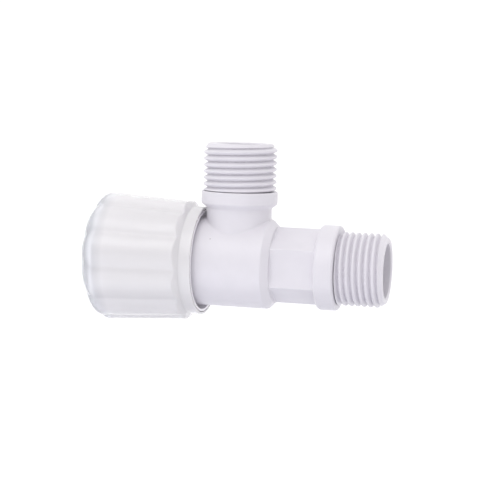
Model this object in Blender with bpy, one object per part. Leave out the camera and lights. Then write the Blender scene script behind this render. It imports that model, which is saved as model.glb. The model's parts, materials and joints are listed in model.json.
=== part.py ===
"""Half-inch angle stop valve in white PVC, with a fluted knob of a clear shell over a white core.

Every piece is drawn in valve coordinates, in millimetres: X runs along the barrel towards
the inlet, Z runs up the outlet branch, and the two axes cross at (0, 0, 0). The pieces are
then placed so that the centre of the inlet's end face is the world's origin.

The valve is drawn closed. Turning the knob anticlockwise, seen from its own end, screws the
spindle out of the bonnet, and the jumper with its rubber washer leaves the seat.
"""
import math

import bmesh
import bpy
from mathutils import Matrix

MM = 0.001

# Facets round a full turn.
ROUND = 32
FINE_ROUND = 24
THREAD_ROUND = 24
INNER_THREAD_ROUND = 18
RING_SECTION = 8

# A small turn given to some round shapes, so that no two facet edges meet where they are joined.
SKEW = 0.03

# A gap between pieces that touch or screw together in the real valve.
GAP = 0.3

# Half-inch pipe thread on both ends.
PIPE_CREST = 10.48
PIPE_ROOT = 9.38
PIPE_PITCH = 1.814
PIPE_LEAD_IN = 1.2

# Inlet side, along X.
INLET_END = 43.6
INLET_BORE = 7.75
INLET_THREAD_START = 28.5
INLET_CREST_AT = 30.9
INLET_COLLAR = 12.1
INLET_COLLAR_LEFT = 24.4
INLET_COLLAR_RIGHT = 30.0
HEX_ACROSS_FLATS = 19.0

# Outlet branch, along Z.
BRANCH_END = 34.3
BRANCH_BORE = 7.0
BRANCH_NECK = 9.36
BRANCH_COLLAR_BOTTOM = 16.2
BRANCH_THREAD_START = 19.6
BRANCH_CREST_AT = 32.96
BRANCH_COLLAR = 10.95
BRANCH_COLLAR_TOP = 20.7

# Barrel and what is inside it.
BARREL = 12.85
BARREL_LEFT = -19.0
BARREL_SHOULDER = 9.7
BARREL_STEP = 11.6
CHAMBER = 9.0
CHAMBER_RIGHT = 9.5
CHAMBER_LEFT = -10.2
SEAT_FACE = 8.0
SEAT_HOLE = 5.5
SEAT_LIP = 7.4
SEAT_WEB_RIGHT = 12.5
BONNET_SOCKET = 10.3

# Bonnet, screwed into the barrel's left end.
BONNET_INNER = -7.4
BONNET_GUIDE = 8.7
BONNET_THREAD_CREST = 10.0
BONNET_THREAD_ROOT = 9.3
BONNET_THREAD_PITCH = 2.0
GASKET_THICKNESS = 1.2
GASKET_OUTER = 12.4
BONNET_FLANGE = 12.4
BONNET_FLANGE_THICKNESS = 1.5
BONNET_HEX_ACROSS_FLATS = 18.0
BONNET_HEX_LEFT = -27.4
BONNET_NECK = 7.2
BONNET_OUTER = -29.9
GLAND_BORE = 4.6
GLAND_RIGHT = -18.8

# Jumper: a disc on a stem, with the seat washer screwed to its face.
SEAT_WASHER = 7.5
SEAT_WASHER_THICKNESS = 3.1
WASHER_SCREW_HOLE = 1.9
JUMPER_DISC = 7.8
JUMPER_DISC_THICKNESS = 2.6
JUMPER_RIGHT = SEAT_FACE - SEAT_WASHER_THICKNESS - 2 * GAP
JUMPER_LEFT = JUMPER_RIGHT - JUMPER_DISC_THICKNESS
JUMPER_STEM = 2.2
JUMPER_STEM_LEFT = -6.0
JUMPER_HOLE_LEFT = -1.0

# Spindle: one right-hand thread start of this lead lifts the washer off the seat.
SPINDLE_LEAD = 2.5
SPINDLE_CREST = 6.0
SPINDLE_ROOT = 5.0
SPINDLE_THREAD_RIGHT = -3.4
SPINDLE_THREAD_LEFT = -14.0
SPINDLE_FOOT = 6.5
SPINDLE_FOOT_THICKNESS = 2.9
SPINDLE_STEM = 4.3
SPINDLE_GROOVE = 2.9
GROOVE_RIGHTS = (-19.6, -22.8)
GROOVE_WIDTH = 1.7
SPINDLE_SQUARE = 6.0
SPINDLE_SHOULDER = -30.4
SPINDLE_LEFT = -38.1
SPINDLE_SOCKET = 2.6
SPINDLE_SOCKET_LEFT = -8.0
SPINDLE_TAPPING = 1.9
SPINDLE_TAPPING_RIGHT = -30.0

# Knob.
KNOB_MOUTH = -9.9
KNOB_RING = 15.65
KNOB_RING_LEFT = -13.3
KNOB_FLUTES_RIGHT = -15.4
KNOB_SHOULDER = -38.1
KNOB_LEFT = -44.65
KNOB_CREST_RIGHT = 17.4
KNOB_CREST_LEFT = 18.87
KNOB_END_FLAT = 7.6
LOBES = 11
FACETS_PER_LOBE = 4
LOBE_CENTRE_DEG = 12.0
LOBE_DEPTH = 0.8
SHELL_WALL = 1.5
SHELL_RING_WALL = 0.6
SHELL_END_THICKNESS = 1.85
CORE_LEFT = KNOB_LEFT + SHELL_END_THICKNESS + GAP
CORE_RING_WALL = 0.6
CORE_CAVITY = 13.3
CORE_CAVITY_LEFT = -39.2
CORE_HUB = 7.0
CAP_HOLE = 5.2
CAP_RECESS = 6.4
CAP_RECESS_DEPTH = 1.1

# Screws, and the washer under the knob's screw.
SCREWS = {
    "washer_screw": {"head": 3.0, "head_height": 1.5, "shank": 1.5, "length": 7.5},
    "knob_screw": {"head": 3.4, "head_height": 1.9, "shank": 1.6, "length": 9.5},
}
SCREW_FACETS = 16
SCREW_SLOT_WIDTH = 0.8
SCREW_WASHER_INNER = 2.0
SCREW_WASHER_OUTER = 4.0
SCREW_WASHER_THICKNESS = 0.8
SCREW_WAY = 4.4
SCREW_SEAT = CORE_LEFT + 2.9

PVC = (0.86, 0.86, 0.885, 1.0)
CLEAR = (0.90, 0.92, 0.97, 1.0)
RUBBER = (0.02, 0.02, 0.022, 1.0)
ACETAL = (0.78, 0.78, 0.76, 1.0)
STEEL = (0.62, 0.62, 0.63, 1.0)
BRASS = (0.72, 0.52, 0.24, 1.0)


def clear_scene():
    for obj in list(bpy.data.objects):
        bpy.data.objects.remove(obj, do_unlink=True)


def make_material(name, colour, roughness, metallic=0.0, alpha=1.0):
    material = bpy.data.materials.new(name)
    material.use_nodes = True
    shader = material.node_tree.nodes["Principled BSDF"]
    shader.inputs["Base Color"].default_value = colour
    shader.inputs["Roughness"].default_value = roughness
    shader.inputs["Metallic"].default_value = metallic
    shader.inputs["Alpha"].default_value = alpha
    return material


def make_object(name, bm, material, parent):
    """Turn a bmesh in millimetres into a named object that hangs on its carrier empty."""
    bmesh.ops.recalc_face_normals(bm, faces=bm.faces)
    bmesh.ops.scale(bm, vec=(MM, MM, MM), verts=bm.verts)
    mesh = bpy.data.meshes.new(name)
    bm.to_mesh(mesh)
    bm.free()
    mesh.materials.append(material)
    mesh.shade_smooth()
    mesh.set_sharp_from_angle(angle=math.radians(35))
    obj = bpy.data.objects.new(name, mesh)
    bpy.context.scene.collection.objects.link(obj)
    obj.parent = parent
    return obj


def make_cutter(name, bm, parent):
    """A helper body for Boolean modifiers, left out of the model."""
    cutter = make_object(name, bm, bpy.data.materials["helper"], parent)
    cutter.hide_render = True
    cutter.display_type = "WIRE"
    return cutter


def combine(obj, operation, helper):
    modifier = obj.modifiers.new(operation.title() + " " + helper.name, "BOOLEAN")
    modifier.operation = operation
    modifier.solver = "EXACT"
    modifier.object = helper


# Shapes. Each returns a bmesh in millimetres, drawn about the X axis.

def ring_of_points(bm, x, radius, angles):
    """A ring about X; radius is a number or a function of the angle. Zero gives one point."""
    if radius == 0:
        return [bm.verts.new((x, 0, 0))]
    points = []
    for angle in angles:
        r = radius(angle) if callable(radius) else radius
        points.append(bm.verts.new((x, r * math.cos(angle), r * math.sin(angle))))
    return points


def join_rings(bm, first, second):
    if len(first) == 1 and len(second) == 1:
        return
    count = max(len(first), len(second))
    for k in range(count):
        after = (k + 1) % count
        if len(first) == 1:
            bm.faces.new((first[0], second[k], second[after]))
        elif len(second) == 1:
            bm.faces.new((first[k], second[0], first[after]))
        else:
            bm.faces.new((first[k], second[k], second[after], first[after]))


def lathe(outline, facets=ROUND, first_angle=0.0):
    """Turn (x, radius) points about X: a solid if both ends lie on the axis, else a ring."""
    bm = bmesh.new()
    angles = [first_angle + 2 * math.pi * k / facets for k in range(facets)]
    rings = [ring_of_points(bm, x, radius, angles) for x, radius in outline]
    for first, second in zip(rings, rings[1:]):
        join_rings(bm, first, second)
    if outline[0][1] != 0:
        join_rings(bm, rings[-1], rings[0])
    return bm


def hexagon(start, end, across_flats):
    """A hexagonal bar along X with corners at its top and bottom."""
    corner = across_flats / math.sqrt(3)
    return lathe([(start, 0), (start, corner), (end, corner), (end, 0)], 6, math.pi / 2)


def square_bar(start, end, side):
    corner = side / math.sqrt(2)
    return lathe([(start, 0), (start, corner), (end, corner), (end, 0)], 4, math.pi / 4)


def cut_flat(bm, x, direction):
    """Cut an open tube square at x and drop what lies further in that direction."""
    everything = bm.verts[:] + bm.edges[:] + bm.faces[:]
    bmesh.ops.bisect_plane(bm, geom=everything, dist=1e-6, plane_co=(x, 0, 0),
                           plane_no=(direction, 0, 0), clear_outer=True)


def threaded_rod(start, end, crest, root, pitch, crest_at, crest_share=0.22, root_share=0.22,
                 lead_in=0.0, facets=THREAD_ROUND):
    """A right-hand threaded rod along X with flat ends.

    crest_at is a place where a crest crosses angle zero, the shares are the flat parts of
    the crest and the root as fractions of the pitch, and lead_in chamfers the far end.
    """
    bm = bmesh.new()
    flank_share = (1 - crest_share - root_share) / 2
    half_crest = crest_share / 2
    form = [(-half_crest, crest), (half_crest, crest),
            (half_crest + flank_share, root), (1 - half_crest - flank_share, root)]
    first_turn = math.floor((start - crest_at) / pitch) - 2
    last_turn = math.ceil((end - crest_at) / pitch) + 2
    rows = []
    for turn in range(first_turn, last_turn):
        for share, radius in form:
            x = crest_at + (turn + share) * pitch
            row = []
            for k in range(facets):
                angle = 2 * math.pi * k / facets
                row.append(bm.verts.new((x + pitch * k / facets,
                                         radius * math.cos(angle), radius * math.sin(angle))))
            rows.append(row)
    turn_of_rows = len(form)
    for i in range(len(rows) - 1 - turn_of_rows):
        for k in range(facets - 1):
            bm.faces.new((rows[i][k], rows[i + 1][k], rows[i + 1][k + 1], rows[i][k + 1]))
        bm.faces.new((rows[i][-1], rows[i + 1][-1],
                      rows[i + 1 + turn_of_rows][0], rows[i + turn_of_rows][0]))
    cut_flat(bm, start, -1)
    cut_flat(bm, end, 1)
    loose = [vert for vert in bm.verts if not vert.link_faces]
    bmesh.ops.delete(bm, geom=loose, context="VERTS")
    bmesh.ops.holes_fill(bm, edges=bm.edges[:], sides=0)
    if lead_in > 0:
        for vert in bm.verts:
            radius = math.hypot(vert.co.y, vert.co.z)
            limit = root + (crest - root) * (end - vert.co.x) / lead_in
            if radius > limit:
                vert.co.y *= limit / radius
                vert.co.z *= limit / radius
    return bm


def turned_up(bm):
    """Turn a shape drawn along +X so that it stands along +Z."""
    bmesh.ops.rotate(bm, verts=bm.verts, cent=(0, 0, 0), matrix=Matrix.Rotation(-math.pi / 2, 3, "Y"))
    return bm


def first_lobe():
    """The angle of the first lobe's middle. Angles run from +Y; the lobe is placed from -Y."""
    return math.pi - math.radians(LOBE_CENTRE_DEG)


def lobed_radius(crest, valley):
    """The radius, as a function of angle, of a flower of equal convex arcs."""
    half = math.pi / LOBES
    side = valley * math.cos(half)
    height = valley * math.sin(half)
    centre = (crest ** 2 - side ** 2 - height ** 2) / (2 * (crest - side))
    arc = crest - centre
    first = first_lobe()

    def radius(angle):
        offset = (angle - first + half) % (2 * half) - half
        return centre * math.cos(offset) + math.sqrt(arc ** 2 - (centre * math.sin(offset)) ** 2)

    return radius


def lobed_lathe(outline, closed_on_axis=True):
    """Like lathe, for (x, crest, depth) rings whose lobes are depth high."""
    bm = bmesh.new()
    facets = LOBES * FACETS_PER_LOBE
    angles = [first_lobe() + 2 * math.pi * k / facets for k in range(facets)]
    rings = []
    for x, crest, depth in outline:
        radius = crest if depth == 0 else lobed_radius(crest, crest - depth)
        rings.append(ring_of_points(bm, x, radius, angles))
    for one, other in zip(rings, rings[1:]):
        join_rings(bm, one, other)
    if not closed_on_axis:
        join_rings(bm, rings[-1], rings[0])
    return bm


def washer(left, right, inner, outer):
    return lathe([(left, inner), (left, outer), (right, outer), (right, inner)], FINE_ROUND)


def o_ring(centre_x, centre_radius, section):
    outline = []
    for k in range(RING_SECTION):
        angle = 2 * math.pi * k / RING_SECTION
        outline.append((centre_x + section * math.cos(angle),
                        centre_radius + section * math.sin(angle)))
    return lathe(outline, FINE_ROUND)


# Pieces of the fixed body.

def barrel_outline():
    bevel = 0.5
    return [(BARREL_LEFT, 0), (BARREL_LEFT, BARREL - bevel), (BARREL_LEFT + bevel, BARREL),
            (BARREL_SHOULDER, BARREL), (BARREL_STEP, HEX_ACROSS_FLATS / math.sqrt(3)),
            (BARREL_STEP, 0)]


def inlet_collar_outline():
    left_bevel = 1.1
    right_bevel = 0.5
    return [(INLET_COLLAR_LEFT, 0), (INLET_COLLAR_LEFT, INLET_COLLAR - left_bevel),
            (INLET_COLLAR_LEFT + left_bevel, INLET_COLLAR),
            (INLET_COLLAR_RIGHT - right_bevel, INLET_COLLAR),
            (INLET_COLLAR_RIGHT, INLET_COLLAR - right_bevel), (INLET_COLLAR_RIGHT, 0)]


def branch_outline():
    bevel = 1.2
    top_bevel = 0.35
    return [(0, 0), (0, BRANCH_NECK), (BRANCH_COLLAR_BOTTOM, BRANCH_NECK),
            (BRANCH_COLLAR_BOTTOM + bevel, BRANCH_COLLAR),
            (BRANCH_COLLAR_TOP - top_bevel, BRANCH_COLLAR),
            (BRANCH_COLLAR_TOP, BRANCH_COLLAR - top_bevel), (BRANCH_COLLAR_TOP, 0)]


def waterway_outline():
    """Inlet bore, seat hole with a raised lip round it, chamber and bonnet socket."""
    beyond = 1.0
    return [(BARREL_LEFT - beyond, 0), (BARREL_LEFT - beyond, BONNET_SOCKET),
            (CHAMBER_LEFT, BONNET_SOCKET), (CHAMBER_LEFT, CHAMBER), (CHAMBER_RIGHT, CHAMBER),
            (CHAMBER_RIGHT, SEAT_LIP), (SEAT_FACE, SEAT_LIP), (SEAT_FACE, SEAT_HOLE),
            (SEAT_WEB_RIGHT, SEAT_HOLE), (SEAT_WEB_RIGHT, INLET_BORE),
            (INLET_END + beyond, INLET_BORE), (INLET_END + beyond, 0)]


def branch_bore_outline():
    beyond = 1.0
    bottom = 1.0
    return [(bottom, 0), (bottom, BRANCH_BORE), (BRANCH_END + beyond, BRANCH_BORE),
            (BRANCH_END + beyond, 0)]


def build_valve_body(parent):
    body = make_object("valve_body", lathe(barrel_outline()),
                       make_material("valve_body_pvc", PVC, 0.32), parent)
    inlet_thread = threaded_rod(INLET_THREAD_START, INLET_END, PIPE_CREST, PIPE_ROOT, PIPE_PITCH,
                                INLET_CREST_AT, lead_in=PIPE_LEAD_IN)
    branch_thread = threaded_rod(BRANCH_THREAD_START, BRANCH_END, PIPE_CREST, PIPE_ROOT,
                                 PIPE_PITCH, BRANCH_CREST_AT, lead_in=PIPE_LEAD_IN)
    into = 0.5
    additions = {
        "add_hexagon": hexagon(BARREL_STEP - into, INLET_COLLAR_LEFT + into, HEX_ACROSS_FLATS),
        "add_inlet_collar": lathe(inlet_collar_outline(), first_angle=SKEW),
        "add_inlet_thread": inlet_thread,
        "add_branch": turned_up(lathe(branch_outline(), first_angle=2 * SKEW)),
        "add_branch_thread": turned_up(branch_thread),
    }
    cuts = {
        "cut_waterway": lathe(waterway_outline(), first_angle=-SKEW),
        "cut_branch_bore": turned_up(lathe(branch_bore_outline(), first_angle=-2 * SKEW)),
    }
    for name, bm in additions.items():
        combine(body, "UNION", make_cutter(name, bm, parent))
    for name, bm in cuts.items():
        combine(body, "DIFFERENCE", make_cutter(name, bm, parent))


def build_gasket(parent):
    right = BARREL_LEFT - GAP
    bm = washer(right - GASKET_THICKNESS, right, BONNET_THREAD_CREST + GAP, GASKET_OUTER)
    make_object("bonnet_gasket", bm, make_material("gasket_rubber", RUBBER, 0.6), parent)


def build_bonnet(parent):
    """Headwork: a threaded plug with a flange, a spanner hexagon and the gland for the stem."""
    flange_right = BARREL_LEFT - 2 * GAP - GASKET_THICKNESS
    flange_left = flange_right - BONNET_FLANGE_THICKNESS
    thread_right = CHAMBER_LEFT - 2 * GAP
    bevel = 0.5
    into = 0.2
    lead_in = 1.0
    beyond = 1.0
    outline = [(BONNET_INNER, 0), (BONNET_INNER, BONNET_GUIDE - bevel),
               (BONNET_INNER - bevel, BONNET_GUIDE), (thread_right, BONNET_GUIDE),
               (thread_right - bevel, BONNET_GUIDE - bevel), (flange_right, BONNET_GUIDE - bevel),
               (flange_right, BONNET_FLANGE), (flange_left, BONNET_FLANGE),
               (flange_left, BONNET_NECK), (BONNET_OUTER + bevel, BONNET_NECK),
               (BONNET_OUTER, BONNET_NECK - bevel), (BONNET_OUTER, 0)]
    bonnet = make_object("bonnet", lathe(outline, first_angle=SKEW),
                         make_material("bonnet_acetal", ACETAL, 0.4), parent)
    thread = threaded_rod(flange_right - into, thread_right - lead_in, BONNET_THREAD_CREST,
                          BONNET_THREAD_ROOT, BONNET_THREAD_PITCH, 0.0, lead_in=lead_in,
                          facets=INNER_THREAD_ROUND)
    nut = hexagon(BONNET_HEX_LEFT, flange_left + into, BONNET_HEX_ACROSS_FLATS)
    spindle_thread = threaded_rod(GLAND_RIGHT, BONNET_INNER + beyond, SPINDLE_CREST + GAP,
                                  SPINDLE_ROOT + GAP, SPINDLE_LEAD, 0.0,
                                  crest_share=0.37, root_share=0.37,
                                  facets=INNER_THREAD_ROUND)
    gland = lathe([(BONNET_OUTER - beyond, 0), (BONNET_OUTER - beyond, GLAND_BORE),
                   (BONNET_INNER - beyond, GLAND_BORE), (BONNET_INNER - beyond, 0)],
                  FINE_ROUND, SKEW)
    combine(bonnet, "UNION", make_cutter("add_bonnet_thread", thread, parent))
    combine(bonnet, "UNION", make_cutter("add_bonnet_hexagon", nut, parent))
    combine(bonnet, "DIFFERENCE", make_cutter("cut_gland", gland, parent))
    combine(bonnet, "DIFFERENCE", make_cutter("cut_spindle_thread", spindle_thread, parent))


# Pieces that lift without turning.

def build_jumper(parent):
    disc_bevel = 0.4
    stem_bevel = 0.5
    foot_height = 0.2
    foot_width = 1.0
    outline = [(JUMPER_HOLE_LEFT, 0), (JUMPER_HOLE_LEFT, WASHER_SCREW_HOLE),
               (JUMPER_RIGHT, WASHER_SCREW_HOLE), (JUMPER_RIGHT, JUMPER_DISC),
               (JUMPER_LEFT + disc_bevel, JUMPER_DISC), (JUMPER_LEFT, JUMPER_DISC - disc_bevel),
               (JUMPER_LEFT, JUMPER_STEM + foot_width), (JUMPER_LEFT - foot_height, JUMPER_STEM),
               (JUMPER_STEM_LEFT + stem_bevel, JUMPER_STEM),
               (JUMPER_STEM_LEFT, JUMPER_STEM - stem_bevel), (JUMPER_STEM_LEFT, 0)]
    make_object("jumper", lathe(outline, FINE_ROUND),
                make_material("jumper_acetal", ACETAL, 0.4), parent)


def build_seat_washer(parent):
    bm = washer(JUMPER_RIGHT + GAP, SEAT_FACE - GAP, WASHER_SCREW_HOLE, SEAT_WASHER)
    make_object("seat_washer", bm, make_material("washer_rubber", RUBBER, 0.6), parent)


def build_screw(name, under_head, head_direction, material, parent):
    """A pan-head screw along X with a cross recess in its head."""
    head = SCREWS[name]["head"]
    head_height = SCREWS[name]["head_height"]
    shank = SCREWS[name]["shank"]
    tip = under_head - head_direction * SCREWS[name]["length"]
    tip_height = 0.8
    top = under_head + head_direction * head_height
    rim = under_head + head_direction * head_height * 0.5
    outline = [(tip, 0), (tip, shank * 0.6), (tip + head_direction * tip_height, shank),
               (under_head, shank), (under_head, head), (rim, head), (top, head * 0.7), (top, 0)]
    screw = make_object(name, lathe(outline, SCREW_FACETS, SKEW), material, parent)
    slot_length = head * 1.1
    for axis, depth in ((1, head_height * 0.6), (2, head_height * 0.5)):
        slot = bmesh.new()
        bmesh.ops.create_cube(slot, size=1.0)
        size = [2 * depth, SCREW_SLOT_WIDTH, SCREW_SLOT_WIDTH]
        size[axis] = slot_length
        bmesh.ops.scale(slot, vec=size, verts=slot.verts)
        bmesh.ops.translate(slot, vec=(top, 0, 0), verts=slot.verts)
        combine(screw, "DIFFERENCE", make_cutter(f"cut_{name}_slot_{axis}", slot, parent))


# Pieces that turn with the knob.

def build_spindle(parent):
    foot_right = JUMPER_LEFT - GAP
    foot_left = foot_right - SPINDLE_FOOT_THICKNESS
    under_thread = SPINDLE_ROOT - 0.4
    stem_right = SPINDLE_THREAD_LEFT - 0.4
    beyond = 1.0
    outline = [(foot_right, 0), (foot_right, SPINDLE_FOOT), (foot_left, SPINDLE_FOOT),
               (foot_left, under_thread), (stem_right, under_thread), (stem_right, SPINDLE_STEM)]
    for groove_right in GROOVE_RIGHTS:
        outline += [(groove_right, SPINDLE_STEM), (groove_right, SPINDLE_GROOVE),
                    (groove_right - GROOVE_WIDTH, SPINDLE_GROOVE),
                    (groove_right - GROOVE_WIDTH, SPINDLE_STEM)]
    outline += [(SPINDLE_SHOULDER, SPINDLE_STEM), (SPINDLE_SHOULDER, 0)]
    spindle = make_object("spindle", lathe(outline, FINE_ROUND),
                          make_material("spindle_brass", BRASS, 0.35, metallic=1.0), parent)
    thread = threaded_rod(SPINDLE_THREAD_LEFT, SPINDLE_THREAD_RIGHT, SPINDLE_CREST,
                          SPINDLE_ROOT, SPINDLE_LEAD, 0.0, crest_share=0.2, root_share=0.56,
                          facets=INNER_THREAD_ROUND)
    square = square_bar(SPINDLE_LEFT, SPINDLE_SHOULDER + beyond, SPINDLE_SQUARE)
    socket = lathe([(SPINDLE_SOCKET_LEFT, 0), (SPINDLE_SOCKET_LEFT, SPINDLE_SOCKET),
                    (foot_right + beyond, SPINDLE_SOCKET), (foot_right + beyond, 0)], FINE_ROUND)
    tapping = lathe([(SPINDLE_LEFT - beyond, 0), (SPINDLE_LEFT - beyond, SPINDLE_TAPPING),
                     (SPINDLE_TAPPING_RIGHT, SPINDLE_TAPPING), (SPINDLE_TAPPING_RIGHT, 0)],
                    SCREW_FACETS)
    combine(spindle, "UNION", make_cutter("add_spindle_thread", thread, parent))
    combine(spindle, "UNION", make_cutter("add_spindle_square", square, parent))
    combine(spindle, "DIFFERENCE", make_cutter("cut_jumper_socket", socket, parent))
    combine(spindle, "DIFFERENCE", make_cutter("cut_spindle_tapping", tapping, parent))


def build_stem_o_rings(parent):
    section = (GLAND_BORE - SPINDLE_GROOVE) / 2 - GAP
    middle = (GLAND_BORE + SPINDLE_GROOVE) / 2
    for name, groove_right in zip(("stem_o_ring_inner", "stem_o_ring_outer"), GROOVE_RIGHTS):
        bm = o_ring(groove_right - GROOVE_WIDTH / 2, middle, section)
        make_object(name, bm, make_material(name + "_rubber", RUBBER, 0.5), parent)


def shell_outside():
    """(x, crest, depth) rings of the knob's outer surface, from the mouth to the end."""
    rings = [(KNOB_MOUTH, KNOB_RING, 0), (KNOB_RING_LEFT, KNOB_RING, 0),
             (KNOB_FLUTES_RIGHT, KNOB_CREST_RIGHT, LOBE_DEPTH),
             (KNOB_SHOULDER, KNOB_CREST_LEFT, LOBE_DEPTH)]
    dome_steps = 5
    dome_power = 1.5
    for k in range(1, dome_steps + 1):
        angle = math.pi / 2 * k / dome_steps
        x = KNOB_SHOULDER + (KNOB_LEFT - KNOB_SHOULDER) * math.sin(angle)
        rise = math.cos(angle) ** dome_power
        crest = KNOB_END_FLAT + (KNOB_CREST_LEFT - KNOB_END_FLAT) * rise
        rings.append((x, crest, LOBE_DEPTH * crest / KNOB_CREST_LEFT))
    return rings


def core_outside():
    """(x, crest, depth) rings of the white core, a clear wall and a gap inside the shell."""
    ring_outer = KNOB_RING - SHELL_RING_WALL - GAP
    inset = SHELL_WALL + GAP
    widest = KNOB_CREST_LEFT - inset
    step_back = 0.8
    return [(KNOB_MOUTH, ring_outer, 0), (KNOB_RING_LEFT - step_back, ring_outer, 0),
            (KNOB_FLUTES_RIGHT - step_back, KNOB_CREST_RIGHT - inset, LOBE_DEPTH),
            (KNOB_SHOULDER, widest, LOBE_DEPTH),
            (KNOB_SHOULDER - 1.8, widest - 1.6, LOBE_DEPTH),
            (KNOB_SHOULDER - 3.0, widest - 3.9, LOBE_DEPTH),
            (CORE_LEFT, widest - 7.6, LOBE_DEPTH / 2)]


def build_knob_core(parent):
    outside = core_outside()
    solid = lobed_lathe([(KNOB_MOUTH, 0, 0)] + outside + [(CORE_LEFT, 0, 0)])
    core = make_object("knob_core", solid, make_material("knob_core_plastic", PVC, 0.4), parent)
    mouth = outside[0][1] - CORE_RING_WALL
    step_back = 1.2
    beyond = 1.0
    hub_right = SPINDLE_SHOULDER - GAP
    cavity = [(KNOB_MOUTH + beyond, 0), (KNOB_MOUTH + beyond, mouth), (KNOB_RING_LEFT, mouth),
              (KNOB_RING_LEFT - step_back, CORE_CAVITY), (CORE_CAVITY_LEFT, CORE_CAVITY),
              (CORE_CAVITY_LEFT, CORE_HUB), (hub_right, CORE_HUB), (hub_right, 0)]
    socket = square_bar(SPINDLE_LEFT - GAP, hub_right + beyond, SPINDLE_SQUARE + 2 * GAP)
    screw_way = [(CORE_LEFT - beyond, 0), (CORE_LEFT - beyond, SCREW_WAY),
                 (SCREW_SEAT, SCREW_WAY), (SCREW_SEAT, SCREW_WASHER_INNER),
                 (SPINDLE_LEFT, SCREW_WASHER_INNER), (SPINDLE_LEFT, 0)]
    combine(core, "DIFFERENCE", make_cutter("cut_core_cavity", lathe(cavity), parent))
    combine(core, "DIFFERENCE", make_cutter("cut_core_socket", socket, parent))
    combine(core, "DIFFERENCE",
            make_cutter("cut_core_screw_way", lathe(screw_way, SCREW_FACETS), parent))


def build_knob_shell(parent):
    """Clear outer shell: the core's outside, a gap larger, makes its inner surface."""
    cavity = []
    for x, crest, depth in core_outside():
        if x < KNOB_SHOULDER:
            x -= GAP
        cavity.append((x, crest + GAP, depth))
    inner_end = cavity[-1][0]
    outline = shell_outside()
    recess_floor = KNOB_LEFT + CAP_RECESS_DEPTH
    outline += [(KNOB_LEFT, CAP_RECESS, 0), (recess_floor, CAP_RECESS, 0),
                (recess_floor, CAP_HOLE, 0), (inner_end, CAP_HOLE, 0)]
    outline += reversed(cavity)
    bm = lobed_lathe(outline, closed_on_axis=False)
    material = make_material("knob_shell_clear", CLEAR, 0.08, alpha=0.35)
    make_object("knob_shell", bm, material, parent)


def build_index_cap(parent):
    """Plain snap-in cap over the knob's screw: a domed disc with a short skirt behind it."""
    skirt = CAP_HOLE - GAP
    rim = CAP_RECESS - GAP
    rim_back = KNOB_LEFT + CAP_RECESS_DEPTH - GAP
    inside = KNOB_LEFT + 1.0
    skirt_end = CORE_LEFT - GAP
    wall = 0.7
    crown = 0.4
    outline = [(KNOB_LEFT - crown, 0), (KNOB_LEFT - crown / 2, rim * 0.7),
               (KNOB_LEFT + crown / 2, rim), (rim_back, rim), (rim_back, skirt),
               (skirt_end, skirt), (skirt_end, skirt - wall), (inside, skirt - wall), (inside, 0)]
    make_object("index_cap", lathe(outline, FINE_ROUND),
                make_material("cap_plastic", PVC, 0.3), parent)


def build_knob_fixings(parent):
    """The flat washer and the screw that hold the core on the spindle."""
    right = SCREW_SEAT - GAP
    left = right - SCREW_WASHER_THICKNESS
    make_object("knob_screw_washer", washer(left, right, SCREW_WASHER_INNER, SCREW_WASHER_OUTER),
                make_material("knob_washer_steel", STEEL, 0.3, metallic=1.0), parent)
    build_screw("knob_screw", left - GAP, -1,
                make_material("knob_screw_steel", STEEL, 0.3, metallic=1.0), parent)


def main():
    clear_scene()
    make_material("helper", (1.0, 0.3, 0.3, 1.0), 1.0)
    carriers = {}
    for name in ("fixed_carrier", "jumper_carrier", "knob_carrier"):
        carrier = bpy.data.objects.new(name, None)
        carrier.location = (-INLET_END * MM, 0, 0)
        bpy.context.scene.collection.objects.link(carrier)
        carriers[name] = carrier
    fixed = carriers["fixed_carrier"]
    build_valve_body(fixed)
    build_gasket(fixed)
    build_bonnet(fixed)
    lifting = carriers["jumper_carrier"]
    build_jumper(lifting)
    build_seat_washer(lifting)
    build_screw("washer_screw", SEAT_FACE, 1,
                make_material("washer_screw_brass", BRASS, 0.3, metallic=1.0), lifting)
    turning = carriers["knob_carrier"]
    build_spindle(turning)
    build_stem_o_rings(turning)
    build_knob_core(turning)
    build_knob_shell(turning)
    build_index_cap(turning)
    build_knob_fixings(turning)


main()
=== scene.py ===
"""Looks of a half-inch PVC angle stop valve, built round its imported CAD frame.

Shapes are drawn in valve coordinates, in millimetres: X runs along the barrel towards the
inlet, Z runs up the outlet branch, and the two axes cross at (0, 0, 0). Angles round X run
from +Y towards +Z.
"""
import json
import math

import bmesh
import bpy
from mathutils import Matrix, Vector


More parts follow.
